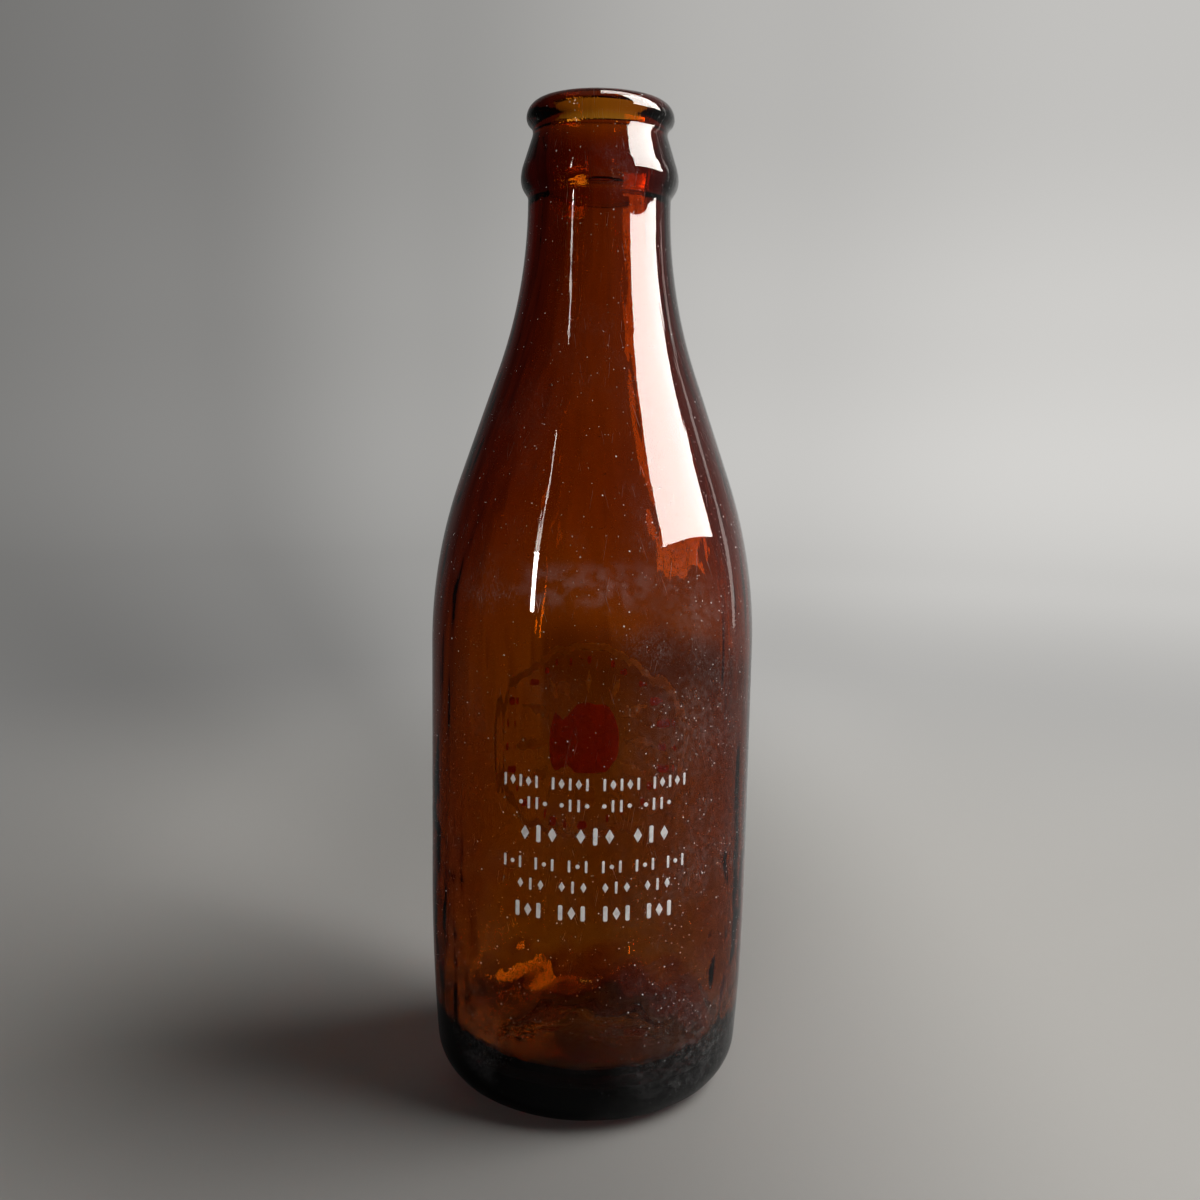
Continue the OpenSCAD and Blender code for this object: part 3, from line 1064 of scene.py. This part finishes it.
def pale_sweep():
    """Paper that the lamps light near the bottle, with painted light and shade in its colour. Further out it
    glows with painted light, and what the glass mirrors of it is a painted reflection, darker on the left and
    in front, as in a room with one window on the right. What the glass lets through of it from behind the
    bottle is darker and warmer, a painted shadow."""
    m, nt, skin, out = new_material("pale paper with painted light and shade")
    skin.inputs["Roughness"].default_value = paper_rough
    skin.inputs["Specular IOR Level"].default_value = 0
    x, y, z = parts_of(nt, nt.nodes.new("ShaderNodeTexCoord").outputs["Object"])
    reach = math_node(nt, "SQRT", math_node(nt, "ADD", times(nt, x, x), times(nt, y, y)))
    light_path = nt.nodes.new("ShaderNodeLightPath").outputs
    let_through = light_path["Is Transmission Ray"]
    seen = math_node(nt, "MAXIMUM", light_path["Is Camera Ray"], let_through)
    mirrored = times(nt, light_path["Is Glossy Ray"], math_node(nt, "SUBTRACT", 1.0, let_through))

    # Painted light and shade in the paper's own colour: a painted shadow darker next to the bottle on the left,
    # lighter on the right, and lighter further back on the left
    painted_light_and_shade = math_node(
        nt, "ADD", between(nt, x, -0.13, -0.05, 0.285, 0.205), between(nt, x, -0.02, 0.11, 0.0, 0.235))
    painted_light_beyond = times(
        nt, between(nt, math_node(nt, "DIVIDE", y, reach), 0.55, 0.85),
        between(nt, x, -0.03, 0.01, 0.38, 0.0))
    painted_light_and_shade = times(nt, painted_light_and_shade, math_node(nt, "ADD", painted_light_beyond, 1.0))
    nt.links.new(ramp_node(nt, painted_light_and_shade, [(0.0, (0, 0, 0)), (1.0, paper_tint)]), skin.inputs["Base Color"])

    # Further out the paper glows as painted light, brightest towards bright_azimuth, on the right behind the
    # bottle
    seen_painted_light_tone = tone_ramp(nt, toward_side(nt, x, y, reach, bright_azimuth), seen_painted_light_tones)
    # Painted reflection: what the glass mirrors of the paper is darkest in front and on the left, and brighter
    # on the right and behind
    mirrored_painted_reflection_tone = tone_ramp(nt, round_share(nt, x, y), mirrored_painted_reflection_tones)
    tone = mix_colours(nt, "MIX", mirrored, seen_painted_light_tone, mirrored_painted_reflection_tone)
    # Painted shadow: rays through the glass see the fan behind the bottle darker and warmer
    behind = times(nt, fan_painted_shadow(nt, x, y, reach), let_through)
    glow = nt.nodes.new("ShaderNodeEmission")
    nt.links.new(mix_colours(nt, "MULTIPLY", behind, tone, fan_painted_shadow_tint), glow.inputs["Color"])

    # Painted light: the glow's brightness changes up the sweep
    climb_painted_light = share_ramp(
        nt, math_node(nt, "DIVIDE", math_node(nt, "ADD", reach, z), climb_l), climb_painted_light_tones, "EASE")
    # Painted shade: the glow is darker on the right, between 0.3 and 0.85 m out
    near_right_painted_shade = times(nt, between(nt, x, 0.0, 0.15), between(nt, reach, 0.30, 0.85, 1.0, 0.0))
    shade = times(
        nt, math_node(nt, "MULTIPLY_ADD", behind, -fan_painted_shadow_dark, 1.0),
        math_node(nt, "MULTIPLY_ADD", near_right_painted_shade, -near_right_painted_shade_dark, 1.0))
    nt.links.new(times(nt, climb_painted_light, shade), glow.inputs["Strength"])

    mirrored_far = times(nt, mirrored, between(nt, reach, 0.03, 0.11, 0.80, 1.0))
    seen_far = times(nt, seen, between(nt, reach, 0.08, 0.45))
    mix_shaders(nt, out, math_node(nt, "MAXIMUM", mirrored_far, seen_far), skin, glow)
    return m


def studio():
    """A round paper sweep: a flat floor, a bend and an upright wall."""
    p = pen_down("studio_sweep", 0, 0)
    pen_line(p, sweep_floor_r, 0, 20)
    pen_arc(p, (sweep_floor_r, sweep_bend_r), 90, 16)
    pen_line(p, *sweep_rim, 6)
    spin_round(sweep_turns, on_line, True)
    bpy.ops.object.shade_smooth_by_angle(angle=math.radians(glass_sharp))
    p.data.materials.append(pale_sweep())


def lamp(name, place, way, wide, tall, power, colour, lights):
    """A soft rectangular lamp at a place, facing a way: it lights dull surfaces, or else the glass shows it."""
    data = bpy.data.lights.new(name, "AREA")
    data.shape = "RECTANGLE"
    data.size, data.size_y = wide * MM, tall * MM
    data.energy = power
    data.color = colour
    o = bpy.data.objects.new(name, data)
    bpy.context.scene.collection.objects.link(o)
    o.location = Vector(place) * MM
    o.rotation_euler = Vector(way).to_track_quat("-Z", "Y").to_euler()
    o.visible_camera = False
    o.visible_glossy = o.visible_transmission = not lights
    o.visible_diffuse = lights


def around(azimuth, distance, height):
    """A place round the bottle: azimuth 0 is on the camera's side, 90 on its right."""
    a = math.radians(azimuth)
    return Vector((math.sin(a) * distance, -math.cos(a) * distance, height))


studio()
window_along = Vector((math.cos(math.radians(window_azimuth)), math.sin(math.radians(window_azimuth)), 0))
window_at = around(window_azimuth, 900, 0) + window_along * window_aside
window_way = -around(window_azimuth, 1, 0)
gap_way = -around(gap_azimuth, 1, 0)
right_gap_way = -around(right_gap_azimuth, 1, 0)
lamp("window", window_at + Vector((0, 0, 1187)), window_way, 1037, 1626, 94, window_light, False)
lamp(
    "window, top part", window_at * 0.55 + Vector((0, 0, 2050)), (0, 0, -1), 1100, 900, 31,
    window_light, False)
lamp("window glow", around(88, 800, 850), -around(88, 800, 800), 800, 800, 17.0, (1.0, 0.98, 0.95), True)
lamp("slim gap", around(gap_azimuth, 900, 245), gap_way, 30, 230, 0.9, (1.0, 0.95, 0.90), False)
lamp("slim gap, upper part", around(gap_azimuth, 900, 560), gap_way, 24, 400, 0.30, (1.0, 0.93, 0.86), False)
lamp(
    "slim gap, right side", around(right_gap_azimuth, 900, 320), right_gap_way, 60, 900, 0.26,
    (1.0, 0.97, 0.92), False)
lamp("front fill", around(-10, 600, 90), -around(-10, 600, 30), 400, 140, 1.0, (1.0, 0.98, 0.98), True)
lamp("back wash", around(175, 600, 90), -around(175, 600, 30), 400, 140, 1.0, (1.0, 0.98, 0.96), True)

world = bpy.data.worlds.new("studio air")
bpy.context.scene.world = world
world.use_nodes = True
air = world.node_tree.nodes["Background"]
air.inputs["Color"].default_value = (1.0, 1.0, 1.0, 1)
air.inputs["Strength"].default_value = air_light

camera = bpy.data.objects.new("camera", bpy.data.cameras.new("camera"))
bpy.context.scene.collection.objects.link(camera)
camera.data.lens = camera_lens
camera.data.sensor_width = 36
camera.data.clip_start = 0.01
camera.data.clip_end = 20
camera.matrix_world = (
    Matrix.Translation([c * MM for c in camera_place])
    @ Matrix.Rotation(math.radians(90 - camera_down), 4, "X")
    @ Matrix.Rotation(math.radians(camera_roll), 4, "Z"))
bpy.context.scene.camera = camera
bpy.context.scene.view_settings.view_transform = "Standard"
